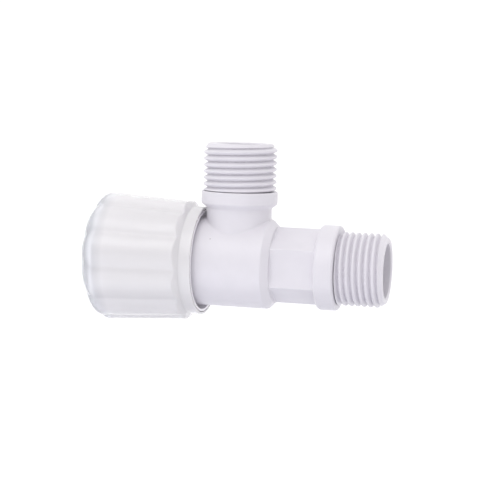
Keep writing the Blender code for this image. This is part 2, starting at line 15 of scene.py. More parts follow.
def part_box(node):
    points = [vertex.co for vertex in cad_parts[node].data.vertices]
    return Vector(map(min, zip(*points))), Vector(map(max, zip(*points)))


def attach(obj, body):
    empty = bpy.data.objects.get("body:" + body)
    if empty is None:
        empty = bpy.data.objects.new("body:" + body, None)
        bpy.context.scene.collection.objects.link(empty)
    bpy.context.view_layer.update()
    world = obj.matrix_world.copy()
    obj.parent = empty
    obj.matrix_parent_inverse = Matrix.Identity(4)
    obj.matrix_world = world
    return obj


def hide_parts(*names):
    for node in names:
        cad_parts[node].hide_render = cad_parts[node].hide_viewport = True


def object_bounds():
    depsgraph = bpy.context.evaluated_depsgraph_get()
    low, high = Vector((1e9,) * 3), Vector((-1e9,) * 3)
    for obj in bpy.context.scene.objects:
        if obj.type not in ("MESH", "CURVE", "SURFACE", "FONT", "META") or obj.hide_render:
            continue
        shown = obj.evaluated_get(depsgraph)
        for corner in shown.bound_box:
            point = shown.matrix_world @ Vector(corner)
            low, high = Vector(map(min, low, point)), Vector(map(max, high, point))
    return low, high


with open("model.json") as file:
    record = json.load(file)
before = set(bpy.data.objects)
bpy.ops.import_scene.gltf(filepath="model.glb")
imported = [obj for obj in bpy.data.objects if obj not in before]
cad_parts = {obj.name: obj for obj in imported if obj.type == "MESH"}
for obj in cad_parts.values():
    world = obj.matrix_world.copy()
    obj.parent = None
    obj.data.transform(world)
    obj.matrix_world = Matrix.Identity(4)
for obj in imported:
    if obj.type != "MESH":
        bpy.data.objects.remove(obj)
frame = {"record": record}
cad_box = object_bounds()

# ---------------------------------------------------------------- places taken from the frame

MM = 0.001
MOUNTS = {mount["name"]: Vector(mount["pos_m"]) for mount in frame["record"]["mounts"]}
CROSSING = Vector((MOUNTS["outlet_face"].x, 0, 0))


def span(node, axis=0):
    """Lowest and highest place of a CAD node along an axis, in valve millimetres."""
    low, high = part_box(node)
    return (low[axis] - CROSSING[axis]) / MM, (high[axis] - CROSSING[axis]) / MM


INLET_END = span("valve_body")[1]
BARREL_LEFT = span("valve_body")[0]
BRANCH_END = span("valve_body", 2)[1]
HEX_FLAT = -MOUNTS["spanner_flat"].y / MM
KNOB_LEFT, KNOB_MOUTH = span("knob_shell")
CORE_LEFT = span("knob_core")[0]
CAP_LEFT, CAP_SKIRT_RIGHT = span("index_cap")
BONNET_LEFT, BONNET_RIGHT = span("bonnet")
GASKET_LEFT, GASKET_RIGHT = span("bonnet_gasket")
JUMPER_STEM_LEFT, JUMPER_RIGHT = span("jumper")
SPINDLE_LEFT, SPINDLE_RIGHT = span("spindle")
WASHER_LEFT, WASHER_RIGHT = span("seat_washer")
SCREW_WASHER_LEFT, SCREW_WASHER_RIGHT = span("knob_screw_washer")

# ---------------------------------------------------------------- sizes, in millimetres

# A plain name such as BARREL or NECK is a radius, and a name that ends in LEFT, RIGHT or AT is
# a place along the axis. The branch's places are measured up from the barrel's axis.

# Half-inch pipe thread, moulded: 55 degree flanks, full round crests and tight roots.
PIPE_CREST = 10.48
PIPE_PITCH = 1.814
PIPE_FLANK = math.radians(27.5)
PIPE_CREST_ROUNDING = 0.42
PIPE_ROOT_ROUNDING = 0.12
PIPE_FLANK_WIDTH = (PIPE_PITCH / 2
                    - (PIPE_CREST_ROUNDING + PIPE_ROOT_ROUNDING) * math.cos(PIPE_FLANK))
PIPE_FLANK_TOP = PIPE_CREST - PIPE_CREST_ROUNDING * (1 - math.sin(PIPE_FLANK))
PIPE_FLANK_FOOT = PIPE_FLANK_TOP - PIPE_FLANK_WIDTH / math.tan(PIPE_FLANK)
PIPE_ROOT = PIPE_FLANK_FOOT - PIPE_ROOT_ROUNDING * (1 - math.sin(PIPE_FLANK))
PIPE_STEPS = 24

# Ends of the two threads: a relief beside the collar, a place where a crest crosses the start
# of the turn, and a lead-in down to the rim.
PIPE_END = 9.45
PIPE_END_EDGE = 0.3
INLET_CREST_AT = 30.9
INLET_LEAD_IN = {"length": 0.5, "slope": 0.9}
INLET_RELIEF = {"step": 0.55, "slope": 2.2}
BRANCH_CREST_AT = 32.96
BRANCH_LEAD_IN = {"length": 0.35, "slope": 0.82}
BRANCH_RELIEF = {"step": 0.5, "slope": 2.6}

# Barrel, hexagon and inlet.
BARREL = 12.85
BARREL_SHOULDER = 9.7
BARREL_STEP = 11.6
STEP_RADIUS = 10.95
HEX_EDGE = 0.45
HEX_FILLET = 0.4
INLET_COLLAR = 12.1
INLET_COLLAR_LEFT = 24.4
INLET_COLLAR_RIGHT = 30.0
INLET_BORE = 7.75

# Outlet branch.
NECK = 9.36
NECK_FILLET = 0.5
BRANCH_BORE = 7.0
BRANCH_COLLAR = 10.95
BRANCH_COLLAR_LEFT = 15.95
BRANCH_COLLAR_SLOPE = 1.2
BRANCH_COLLAR_RIGHT = 20.7

# Waterway: chamber, seat and the bonnet's socket.
BORE_CHAMFER = 0.35
CHAMBER = 9.0
CHAMBER_RIGHT = 9.5
CHAMBER_LEFT = -10.2
SEAT_FACE = 8.0
SEAT_HOLE = 5.5
SEAT_LIP = 7.4
SEAT_WEB_RIGHT = 12.5
BONNET_SOCKET = 10.3

# Knob: a plain ring at the mouth, flutes from there to the shoulder, and a rounded left end.
RING = 15.65
RING_LEFT = -13.3
FLUTES_RIGHT = -14.8
CONE_BLEND = 0.25
SHOULDER = -38.1
CREST_RIGHT = 17.4
CREST_LEFT = 18.87
END_FLAT = 7.6
DOME_POWER = 1.5
LOBES = 11
LOBE_CENTRE = math.radians(180 - 12)
LOBE_DEPTH = 0.8
LOBE_VALLEY = 0.05
FACETS_PER_LOBE = 24

# Walls of the knob's shell and core, what is inside the core, and the index cap.
SHELL_WALL = 1.5
RING_WALL = 0.6
GAP = 0.3
CORE_END_TURN = math.radians(70)
CORE_LOBE_DEPTH = 0.3
CORE_CAVITY = 13.3
CORE_CAVITY_LEFT = -39.2
CORE_CAVITY_RIGHT = -14.5
CORE_HUB = 7.0
CORE_HUB_LENGTH = 7.4
CORE_SQUARE = 6.6
CORE_SCREW_WAY = 4.4
CORE_SCREW_HOLE = 2.0
CAP_HOLE = 5.2
CAP_RECESS = 6.4
CAP_RECESS_DEPTH = 1.1
CAP_WALL = 0.7
CAP_EDGE = 0.3

# Spindle and gland.
SPINDLE_LEAD = 2.5
SPINDLE_SHANK = 4.6
SPINDLE_STEM = 4.3
O_RING_INNER = 2.9
GLAND = 4.6
THREAD_STEP = 0.12

# Steps round a circle.
STEPS_ROUND_LARGE = 192
STEPS_ROUND_BORE = 128
STEPS_ROUND_SMALL = 96

# How far a cutter stands out of what it cuts. Each shape that is joined to another or cuts it
# also starts its steps at an angle of its own, so that no two edges lie on each other.
BEYOND = 1.0
BRANCH_START = 0.01
WATERWAY_START = 0.013
OUTLET_START = 0.007
CORE_CAVITY_START = 0.011
SCREW_HOLE_START = 0.02

# ---------------------------------------------------------------- shape tools

def arc(corner, before, after, radius, step=math.radians(12)):
    """Points of an arc that rounds a corner of an outline; before and after are unit vectors."""
    turn = math.pi - before.angle(after)
    start = corner + before * radius * math.tan(turn / 2)
    end = corner + after * radius * math.tan(turn / 2)
    centre = corner + (before + after).normalized() * (radius / math.cos(turn / 2))
    first, last = start - centre, end - centre
    sweep = math.atan2(first.cross(last), first.dot(last))
    steps = max(2, math.ceil(abs(sweep) / step))
    return [centre + Matrix.Rotation(sweep * k / steps, 2) @ first for k in range(steps + 1)]


def rounded(outline):
    """(x, radius) points of an outline; a corner may have a third number, its fillet's radius."""
    points = []
    for i, (x, radius, *fillet) in enumerate(outline):
        corner = Vector((x, radius))
        if fillet:
            before = (Vector(outline[i - 1][:2]) - corner).normalized()
            after = (Vector(outline[(i + 1) % len(outline)][:2]) - corner).normalized()
            points += [tuple(p) for p in arc(corner, before, after, fillet[0])]
        else:
            points.append((x, radius))
    return points


def even_angles(count, first=0.0):
    """Equal steps once round, from the angle first."""
    return [first + 2 * math.pi * k / count for k in range(count)]


def hexagon_angles():
    """Angles with fine steps at a hexagon's corners, which point up, down and between."""
    corner_half = 3.0
    corner_steps = 10
    flat_steps = 24
    angles = []
    for corner in range(90, 450, 60):
        for k in range(corner_steps):
            angles.append(corner - corner_half + 2 * corner_half * k / corner_steps)
        for k in range(flat_steps):
            angles.append(corner + corner_half + (60 - 2 * corner_half) * k / flat_steps)
    return [math.radians(angle) for angle in angles]


def hexagon_radius(flat, edge):
    """Radius of a hexagon whose edges are rounded, as a function of angle."""
    sixth = math.pi / 3
    centre = (flat - edge) / math.cos(sixth / 2)
    edge_half = math.atan2(edge * math.sin(sixth / 2), centre + edge * math.cos(sixth / 2))

    def radius(angle):
        offset = (angle - math.pi / 2 + sixth / 2) % sixth - sixth / 2
        if abs(offset) > edge_half:
            return flat / math.cos(sixth / 2 - abs(offset))
        return centre * math.cos(offset) + math.sqrt(edge ** 2 - (centre * math.sin(offset)) ** 2)

    return radius


def ring(x, radius, angles):
    """Points round X at one place; the radius is a number or a function of the angle."""
    if radius == 0:
        return [(x, 0, 0)]
    points = []
    for angle in angles:
        r = radius(angle) if callable(radius) else radius
        points.append((x, r * math.cos(angle), r * math.sin(angle)))
    return points


def lathe(outline, angles):
    """Rings through (x, radius) points."""
    return [ring(x, radius, angles) for x, radius in outline]


def skin(rings, closed=False):
    """Vertices and faces that join rings in turn; closed joins the last ring to the first."""
    verts, faces, starts = [], [], []
    for points in rings:
        starts.append(len(verts))
        verts += points
    pairs = list(zip(range(len(rings)), range(1, len(rings))))
    if closed:
        pairs.append((len(rings) - 1, 0))
    for one, other in pairs:
        a, b = starts[one], starts[other]
        count = max(len(rings[one]), len(rings[other]))
        for k in range(count):
            after = (k + 1) % count
            if len(rings[one]) == 1:
                faces.append((a, b + k, b + after))
            elif len(rings[other]) == 1:
                faces.append((a + k, b, a + after))
            else:
                faces.append((a + k, b + k, b + after, a + after))
    return verts, faces


def raise_up(rings):
    """Turn rings drawn along X so that they stand along Z; +Y stays where it is."""
    return [[(-z, y, x) for x, y, z in points] for points in rings]


def pipe_thread(x, angle, crest_at):
    """Radius of the pipe thread. crest_at is a place where a crest crosses angle zero."""
    turns = (x - crest_at) / PIPE_PITCH - angle / (2 * math.pi)
    from_crest = abs((turns + 0.5) % 1 - 0.5) * PIPE_PITCH
    from_root = PIPE_PITCH / 2 - from_crest
    crest_edge = PIPE_CREST_ROUNDING * math.cos(PIPE_FLANK)
    root_edge = PIPE_ROOT_ROUNDING * math.cos(PIPE_FLANK)
    if from_crest < crest_edge:
        sag = PIPE_CREST_ROUNDING - math.sqrt(PIPE_CREST_ROUNDING ** 2 - from_crest ** 2)
        return PIPE_CREST - sag
    if from_root < root_edge:
        sag = PIPE_ROOT_ROUNDING - math.sqrt(PIPE_ROOT_ROUNDING ** 2 - from_root ** 2)
        return PIPE_ROOT + sag
    return PIPE_FLANK_TOP - (from_crest - crest_edge) / math.tan(PIPE_FLANK)


def power_thread(x, angle, crest, root, pitch, crest_share, root_share):
    """Radius of a thread with flat crests and roots."""
    from_crest = abs((x / pitch - angle / (2 * math.pi) + 0.5) % 1 - 0.5)
    flank = (1 - crest_share - root_share) / 2
    down = min(max((from_crest - crest_share / 2) / flank, 0), 1)
    return crest + (root - crest) * down


def thread_rings(start, end, step, radius, angles):
    """Rings of a threaded length; radius is a function of place and angle."""
    count = max(2, round((end - start) / step))
    rings = []
    for k in range(count + 1):
        x = start + (end - start) * k / count
        rings.append(ring(x, lambda angle: radius(x, angle), angles))
    return rings


def make_object(name, verts, faces):
    """A mesh object in the frame's metres from vertices in valve millimetres."""
    mesh = bpy.data.meshes.new(name)
    mesh.from_pydata(verts, [], faces)
    mesh.transform(Matrix.Translation(CROSSING) @ Matrix.Scale(MM, 4))
    bm = bmesh.new()
    bm.from_mesh(mesh)
    bmesh.ops.recalc_face_normals(bm, faces=bm.faces)
    bm.to_mesh(mesh)
    bm.free()
    obj = bpy.data.objects.new(name, mesh)
    bpy.context.scene.collection.objects.link(obj)
    return obj


def carve(obj, operation, shape):
    """Join or cut a shape into obj's mesh, for good."""
    helper = make_object("helper", *shape)
    modifier = obj.modifiers.new("Carve", "BOOLEAN")
    modifier.operation = operation
    modifier.solver = "EXACT"
    modifier.object = helper
    depsgraph = bpy.context.evaluated_depsgraph_get()
    carved = bpy.data.meshes.new_from_object(obj.evaluated_get(depsgraph))
    obj.modifiers.remove(modifier)
    old = obj.data
    obj.data = carved
    carved.name = obj.name
    bpy.data.meshes.remove(old)
    bpy.data.objects.remove(helper)


def settle(obj, body, material, sharp=40):
    """Shade a finished piece, give it its material, hang it on its CAD body and hide the CAD node
    that it replaces.
    """
    obj.data.materials.clear()
    obj.data.materials.append(material)
    obj.data.shade_smooth()
    obj.data.set_sharp_from_angle(angle=math.radians(sharp))
    weigh = obj.modifiers.new("Weighted normals", "WEIGHTED_NORMAL")
    weigh.keep_sharp = True
    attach(obj, body)
    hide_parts(obj.name.removeprefix("fine_"))


# ---------------------------------------------------------------- valve body

def pipe_end(collar, end, crest_at, relief, lead_in, angles):
    """Rings from a collar to a pipe's closed end: a short relief, the thread and its lead-in."""
    def radius(x, angle):
        at_end = PIPE_END + max(0, end - lead_in["length"] - x) * lead_in["slope"]
        at_collar = PIPE_ROOT + relief["step"] + (x - collar) * relief["slope"]
        return min(pipe_thread(x, angle, crest_at), at_end, at_collar)

    rings = thread_rings(collar, end - PIPE_END_EDGE, PIPE_PITCH / PIPE_STEPS, radius, angles)
    return rings + lathe([(end, PIPE_END - PIPE_END_EDGE), (end, 0)], angles)


def barrel_and_inlet():
    """Outside of the barrel, its shoulder, the hexagon, the collar and the inlet thread."""
    angles = hexagon_angles()
    hexagon = hexagon_radius(HEX_FLAT, HEX_EDGE)
    step_edge = 0.15
    barrel = rounded([(BARREL_LEFT, 0), (BARREL_LEFT, BARREL, 0.3),
                      (BARREL_SHOULDER, BARREL, 0.6), (BARREL_STEP, STEP_RADIUS, step_edge),
                      (BARREL_STEP, HEX_FLAT)])
    rings = lathe(barrel[:-1], angles)
    fillet_steps = 5
    fillet = []
    for k in range(fillet_steps + 1):
        turn = math.pi / 2 * k / fillet_steps
        fillet.append((HEX_FILLET * (1 - math.cos(turn)), HEX_FILLET * (1 - math.sin(turn))))
    for out, rise in fillet:
        rim = STEP_RADIUS if out else STEP_RADIUS - step_edge
        rings.append(ring(BARREL_STEP + out, lambda angle: min(hexagon(angle) + rise, rim), angles))
    for out, rise in reversed(fillet):
        rings.append(ring(INLET_COLLAR_LEFT - out, lambda angle: hexagon(angle) + rise, angles))
    collar = rounded([(INLET_COLLAR_LEFT, PIPE_CREST), (INLET_COLLAR_LEFT, INLET_COLLAR, 1.0),
                      (INLET_COLLAR_RIGHT, INLET_COLLAR, 0.7), (INLET_COLLAR_RIGHT, PIPE_CREST)])
    rings += lathe(collar[1:-1], angles)
    rings += pipe_end(INLET_COLLAR_RIGHT, INLET_END, INLET_CREST_AT, INLET_RELIEF, INLET_LEAD_IN,
                      angles)
    return skin(rings)


def neck_edge(angle, out):
    """A point on the barrel, so far outside the line where the neck meets it."""
    x, y = NECK * math.cos(angle), NECK * math.sin(angle)
    roll = math.asin(y / BARREL)
    along = Vector((-y, x / math.cos(roll))).normalized()
    x += along.y * out
    roll -= along.x * out / BARREL
    radius = BARREL - max(0, x - BARREL_SHOULDER)
    return Vector((x, radius * math.sin(roll), radius * math.cos(roll)))


def neck_fillet_rings(angles):
    """Rings of the fillet between the barrel and the neck, from inside the barrel upwards."""
    steps = 7
    sink = 0.004
    root_depth = 0.4
    rings = [[] for _ in range(steps + 2)]
    for angle in angles:
        x, y = NECK * math.cos(angle), NECK * math.sin(angle)
        corner = Vector((x, y, math.sqrt(BARREL ** 2 - y ** 2)))
        top = corner + Vector((0, 0, NECK_FILLET))
        foot = neck_edge(angle, NECK_FILLET)
        inward = -Vector((0, foot.y, foot.z)).normalized()
        foot += inward * sink
        rings[0].append(tuple(foot + inward * root_depth))
        for k in range(steps + 1):
            t = k / steps
            point = foot * (1 - t) ** 2 + corner * 2 * t * (1 - t) + top * t ** 2
            rings[k + 1].append(tuple(point))
    return rings


def outlet_branch():
    """Outside of the neck, its collar and the outlet thread, with a fillet on the barrel."""
    angles = even_angles(STEPS_ROUND_LARGE, BRANCH_START)
    root = [(0, 0, 3.0)]
    rings = [root] + neck_fillet_rings(angles)
    outline = rounded([(BARREL, NECK), (BRANCH_COLLAR_LEFT, NECK, 0.8),
                       (BRANCH_COLLAR_LEFT + BRANCH_COLLAR_SLOPE, BRANCH_COLLAR, 0.9),
                       (BRANCH_COLLAR_RIGHT, BRANCH_COLLAR, 0.4), (BRANCH_COLLAR_RIGHT, NECK)])
    turned = [angle - math.pi / 2 for angle in angles]
    upright = lathe(outline[1:-1], turned)
    upright += pipe_end(BRANCH_COLLAR_RIGHT, BRANCH_END, BRANCH_CREST_AT, BRANCH_RELIEF,
                        BRANCH_LEAD_IN, turned)
    return skin(rings + raise_up(upright))


def waterway():
    """The inlet bore, the seat with its raised lip, the chamber and the bonnet's socket."""
    left_mouth, right_mouth = BONNET_SOCKET + BORE_CHAMFER, INLET_BORE + BORE_CHAMFER
    outline = rounded([(BARREL_LEFT - BEYOND, 0), (BARREL_LEFT - BEYOND, left_mouth),
                       (BARREL_LEFT, left_mouth), (BARREL_LEFT + BORE_CHAMFER, BONNET_SOCKET),
                       (CHAMBER_LEFT, BONNET_SOCKET, 0.2), (CHAMBER_LEFT, CHAMBER, 0.2),
                       (CHAMBER_RIGHT, CHAMBER, 0.5), (CHAMBER_RIGHT, SEAT_LIP, 0.3),
                       (SEAT_FACE, SEAT_LIP, 0.3), (SEAT_FACE, SEAT_HOLE, 0.3),
                       (SEAT_WEB_RIGHT, SEAT_HOLE, 0.4), (SEAT_WEB_RIGHT, INLET_BORE, 0.8),
                       (INLET_END - BORE_CHAMFER, INLET_BORE), (INLET_END, right_mouth),
                       (INLET_END + BEYOND, right_mouth), (INLET_END + BEYOND, 0)])
    return skin(lathe(outline, even_angles(STEPS_ROUND_BORE, WATERWAY_START)))


def outlet_bore():
    """The bore from inside the chamber up through the branch."""
    foot, mouth = 1.0, BRANCH_BORE + BORE_CHAMFER
    outline = [(foot, 0), (foot, BRANCH_BORE), (BRANCH_END - BORE_CHAMFER, BRANCH_BORE),
               (BRANCH_END, mouth), (BRANCH_END + BEYOND, mouth), (BRANCH_END + BEYOND, 0)]
    return skin(raise_up(lathe(outline, even_angles(STEPS_ROUND_BORE, OUTLET_START))))


def build_valve_body(material):
    """One moulding: the barrel joined with the branch, then cut by the waterway and the bore."""
    body = make_object("fine_valve_body", *barrel_and_inlet())
    carve(body, "UNION", outlet_branch())
    carve(body, "DIFFERENCE", waterway())
    carve(body, "DIFFERENCE", outlet_bore())
    settle(body, "valve", material)


# ---------------------------------------------------------------- knob

def lobe(crest, depth, angle):
    """Radius of the fluted knob: equal convex arcs that meet in slightly rounded valleys."""
    half = math.pi / LOBES
    offset = abs((angle - LOBE_CENTRE + half) % (2 * half) - half)
    valley_rounding = LOBE_VALLEY * half
    to_valley = math.hypot(half - offset, valley_rounding) - valley_rounding
    return crest - depth * ((half - to_valley) / half) ** 2


def softer_minimum(a, b, blend):
    """The smaller of two sizes, rounded off where they are about equal."""
    share = max(blend - abs(a - b), 0) / blend
    return min(a, b) - blend * share ** 2 / 4


def knob_radius(x, angle, inset, flute_depth):
    """Radius of the fluted part between the ring and the shoulder, cut by the ring's cone."""
    along = (x - FLUTES_RIGHT) / (SHOULDER - FLUTES_RIGHT)
    crest = CREST_RIGHT + (CREST_LEFT - CREST_RIGHT) * along - inset
    slope = (CREST_RIGHT - RING) / (RING_LEFT - FLUTES_RIGHT)
    cone = RING - min(inset, RING_WALL + GAP) + (RING_LEFT - x) * slope
    return softer_minimum(cone, lobe(crest, flute_depth, angle), CONE_BLEND)


def knob_angles():
    """Even steps that have one at every lobe's middle and every valley."""
    return even_angles(LOBES * FACETS_PER_LOBE, LOBE_CENTRE)


def flute_rings(inset, flute_depth, angles):
    """Rings from the ring's left edge to the shoulder; fine where the cone cuts the flutes."""
    cone_end = FLUTES_RIGHT - 0.7
    cone_steps = 26
    flute_steps = 10
    places = [RING_LEFT + (cone_end - RING_LEFT) * k / cone_steps for k in range(cone_steps)]
    places += [cone_end + (SHOULDER - cone_end) * k / flute_steps for k in range(flute_steps + 1)]
    return [ring(x, lambda angle: knob_radius(x, angle, inset, flute_depth), angles)
            for x in places]


def dome_point(turn):
    """Place and crest radius on the knob's rounded left end, a quarter turn from end to end."""
    return Vector((SHOULDER + (KNOB_LEFT - SHOULDER) * math.sin(turn),
                   END_FLAT + (CREST_LEFT - END_FLAT) * max(math.cos(turn), 0) ** DOME_POWER))


def dome_rings(inset, flute_depth, last_turn, angles):
    """Rings on the rounded left end, or a steady inset below it, as far round as last_turn."""
    steps = 18
    rings = []
    for k in range(1, steps + 1):
        turn = last_turn * k / steps
        along = (dome_point(turn + 0.01) - dome_point(turn - 0.01)).normalized()
        x, crest = dome_point(turn) + inset * Vector((-along.y, along.x))
        depth = flute_depth * crest / CREST_LEFT
        rings.append(ring(x, lambda angle: lobe(crest, depth, angle), angles))
    return rings


def core_outside_rings(angles, grow=0.0):
    """The core's outside from its mouth to its left end, larger by grow."""
    ring_outer = RING - RING_WALL - GAP + grow
    inset = SHELL_WALL + GAP + (LOBE_DEPTH - CORE_LOBE_DEPTH) / 2 - grow
    rings = lathe([(KNOB_MOUTH, ring_outer), (RING_LEFT, ring_outer)], angles)
    rings += flute_rings(inset, CORE_LOBE_DEPTH, angles)[1:]
    return rings + dome_rings(inset, CORE_LOBE_DEPTH, CORE_END_TURN, angles)


def build_knob_shell(material):
    """Clear shell, closed: outside, end with the cap's recess and hole, then its inner wall."""
    angles = knob_angles()
    lip = 0.12
    before_flutes = RING_LEFT + 0.3
    rings = lathe([(KNOB_MOUTH, RING - lip), (KNOB_MOUTH - lip, RING), (before_flutes, RING)],
                  angles)
    rings += flute_rings(0, LOBE_DEPTH, angles)
    rings += dome_rings(0, LOBE_DEPTH, math.pi / 2, angles)
    floor = KNOB_LEFT + CAP_RECESS_DEPTH
    rings += lathe(rounded([(KNOB_LEFT, END_FLAT), (KNOB_LEFT, CAP_RECESS, 0.2),
                            (floor, CAP_RECESS), (floor, CAP_HOLE),
                            (CORE_LEFT - GAP, CAP_HOLE)])[1:], angles)
    rings += reversed(core_outside_rings(angles, grow=GAP))
    shell = make_object("fine_knob_shell", *skin(rings, closed=True))
    settle(shell, "knob_set", material, sharp=50)


def build_knob_core(material):
    """White core: a cup with a hub that has the spindle's square and the screw's way through."""
    angles = knob_angles()
    outside = core_outside_rings(angles)
    rings = [[(KNOB_MOUTH, 0, 0)]] + outside + [[(CORE_LEFT, 0, 0)]]
    core = make_object("fine_knob_core", *skin(rings))
    mouth = RING - 2 * RING_WALL - GAP
    hub_right = SPINDLE_LEFT + CORE_HUB_LENGTH
    cavity = rounded([(KNOB_MOUTH + BEYOND, 0), (KNOB_MOUTH + BEYOND, mouth), (RING_LEFT, mouth),
                      (CORE_CAVITY_RIGHT, CORE_CAVITY), (CORE_CAVITY_LEFT, CORE_CAVITY, 1.0),
                      (CORE_CAVITY_LEFT, CORE_HUB, 0.6), (hub_right, CORE_HUB, 0.3),
                      (hub_right, 0)])
    carve(core, "DIFFERENCE",
          skin(lathe(cavity, even_angles(STEPS_ROUND_LARGE, CORE_CAVITY_START))))
    corner = CORE_SQUARE / math.sqrt(2)
    square = [(SPINDLE_LEFT - GAP, 0), (SPINDLE_LEFT - GAP, corner), (hub_right + BEYOND, corner),
              (hub_right + BEYOND, 0)]
    carve(core, "DIFFERENCE", skin(lathe(square, even_angles(4, math.pi / 4))))
    seat = SCREW_WASHER_RIGHT + GAP
    way = [(CORE_LEFT - BEYOND, 0), (CORE_LEFT - BEYOND, CORE_SCREW_WAY), (seat, CORE_SCREW_WAY),
           (seat, CORE_SCREW_HOLE), (SPINDLE_LEFT, CORE_SCREW_HOLE), (SPINDLE_LEFT, 0)]
    carve(core, "DIFFERENCE",
          skin(lathe(way, even_angles(STEPS_ROUND_SMALL, SCREW_HOLE_START))))
    settle(core, "knob_set", material)


def build_index_cap(material):
    """Plain snap-in cap: a domed disc with a short skirt behind it."""
    rim = CAP_RECESS - GAP
    rim_back = KNOB_LEFT + CAP_RECESS_DEPTH - GAP
    skirt = CAP_HOLE - GAP
    inside = KNOB_LEFT + 1.0
    crown_edge = rim - CAP_EDGE
    crown_height = KNOB_LEFT - CAP_LEFT
    outline = [(CAP_LEFT, 0)]
    crown_steps = 8
    for k in range(1, crown_steps):
        radius = crown_edge * k / crown_steps
        outline.append((CAP_LEFT + crown_height * (radius / rim) ** 2, radius))
    outline += rounded([(KNOB_LEFT, crown_edge), (KNOB_LEFT + 0.05, rim, 0.2),
                        (rim_back, rim, 0.1), (rim_back, skirt), (CAP_SKIRT_RIGHT, skirt, 0.15),
                        (CAP_SKIRT_RIGHT, skirt - CAP_WALL, 0.15), (inside, skirt - CAP_WALL),
                        (inside, 0)])
    cap = make_object("fine_index_cap", *skin(lathe(outline, even_angles(STEPS_ROUND_SMALL))))
    settle(cap, "knob_set", material)


# ---------------------------------------------------------------- what is inside

def build_turned(name, outline, body, material, closed=False):
    """A plain turned piece from an outline with fillets."""
    rings = lathe(rounded(outline), even_angles(STEPS_ROUND_SMALL))
    piece = make_object("fine_" + name, *skin(rings, closed))
    settle(piece, body, material)


def build_bonnet(material):
    """Headwork: guide, thread, flange, spanner hexagon and the bored neck for the stem."""
    angles = hexagon_angles()
    guide, guide_left = 8.7, -10.8
    thread_crest, thread_root, thread_pitch, thread_flat = 10.0, 9.3, 2.0, 0.22
    flange, flange_thickness = 12.4, 1.5
    flange_right = GASKET_LEFT - GAP
    flange_left = flange_right - flange_thickness
    hex_left, hex_corner, hex_edge = -27.4, 9.6, 0.4
    hexagon = hexagon_radius(9.0, hex_edge)
    neck, gland_right = 7.2, -18.8
    nut_root, nut_crest, nut_flat = 6.3, 5.3, 0.37

    def outer_thread(x, angle):
        lead_in = thread_root + max(0, guide_left - 0.6 - x) * 1.2
        return min(lead_in, power_thread(x, angle, thread_crest, thread_root, thread_pitch,
                                         thread_flat, thread_flat))

    def hexagon_end(angle):
        return min(hexagon(angle), hex_corner) - 0.3

    def nut_thread(x, angle):
        return power_thread(x, angle, nut_root, nut_crest, SPINDLE_LEAD, nut_flat, nut_flat)

    rings = lathe(rounded([(BONNET_RIGHT, GLAND), (BONNET_RIGHT, guide, 0.4),
                           (guide_left, guide, 0.2), (guide_left - 0.3, guide - 0.4)])[1:], angles)
    rings += thread_rings(guide_left - 0.5, flange_right, -THREAD_STEP, outer_thread, angles)
    rings += lathe(rounded([(flange_right, guide), (flange_right, flange, 0.3),
                            (flange_left, flange, 0.3), (flange_left, guide)])[1:-1], angles)
    rings += [ring(flange_left, hexagon, angles), ring(hex_left + hex_edge, hexagon, angles),
              ring(hex_left, hexagon_end, angles)]
    rings += lathe(rounded([(hex_left, guide), (hex_left, neck, 0.3), (BONNET_LEFT, neck, 0.4),
                            (BONNET_LEFT, GLAND, 0.3), (gland_right, GLAND)])[1:], angles)
    rings += thread_rings(gland_right, BONNET_RIGHT, THREAD_STEP, nut_thread, angles)
    bonnet = make_object("fine_bonnet", *skin(rings, closed=True))
    settle(bonnet, "valve", material)


def build_spindle(material):
    """Stem: a socketed foot, the lifting thread, two grooves for O-rings and a tapped square."""
    angles = even_angles(STEPS_ROUND_SMALL)
    foot, foot_left = 6.5, SPINDLE_RIGHT - 2.9
    socket, socket_left = 2.6, -8.0
    thread_crest, thread_root, crest_share, root_share = 6.0, 5.0, 0.2, 0.56
    thread_right, thread_left, thread_fade = foot_left - 0.4, -14.0, 0.5
    groove_width = 1.7
    stem_left, square, square_chamfer = -30.4, 6.0, 0.4
    tapping, tapping_right = 1.9, -30.0

    def thread(x, angle):
        share = min(1, (thread_right - x) / thread_fade, (x - thread_left) / thread_fade)
        radius = power_thread(x, angle, thread_crest, thread_root, SPINDLE_LEAD, crest_share,
                              root_share)
        return SPINDLE_SHANK + (radius - SPINDLE_SHANK) * max(share, 0)

    rings = lathe(rounded([(socket_left, 0), (socket_left, socket), (SPINDLE_RIGHT, socket, 0.2),
                           (SPINDLE_RIGHT, foot, 0.3), (foot_left, foot, 0.3),
                           (foot_left, SPINDLE_SHANK, 0.2), (thread_right, SPINDLE_SHANK)]), angles)
    rings += thread_rings(thread_right, thread_left, -THREAD_STEP, thread, angles)
    stem_right = thread_left - 0.2
    outline = [(stem_right, SPINDLE_SHANK), (stem_right, SPINDLE_STEM)]
    for groove_right in (-19.6, -22.8):
        groove_left = groove_right - groove_width
        outline += [(groove_right, SPINDLE_STEM, 0.12), (groove_right, O_RING_INNER, 0.2),
                    (groove_left, O_RING_INNER, 0.2), (groove_left, SPINDLE_STEM, 0.12)]
    outline += [(stem_left, SPINDLE_STEM, 0.3), (stem_left, 0)]
    rings += lathe(rounded(outline)[1:], angles)
    spindle = make_object("fine_spindle", *skin(rings))
    corner = square / math.sqrt(2)
    bar = [(SPINDLE_LEFT, 0), (SPINDLE_LEFT, corner - square_chamfer),
           (SPINDLE_LEFT + square_chamfer, corner), (stem_left + BEYOND, corner),
           (stem_left + BEYOND, 0)]
    carve(spindle, "UNION", skin(lathe(bar, even_angles(4, math.pi / 4))))
    hole = [(SPINDLE_LEFT - BEYOND, 0), (SPINDLE_LEFT - BEYOND, tapping),
            (tapping_right, tapping), (tapping_right, 0)]
    carve(spindle, "DIFFERENCE",
          skin(lathe(hole, even_angles(STEPS_ROUND_SMALL, SCREW_HOLE_START))))
    settle(spindle, "knob_set", material)


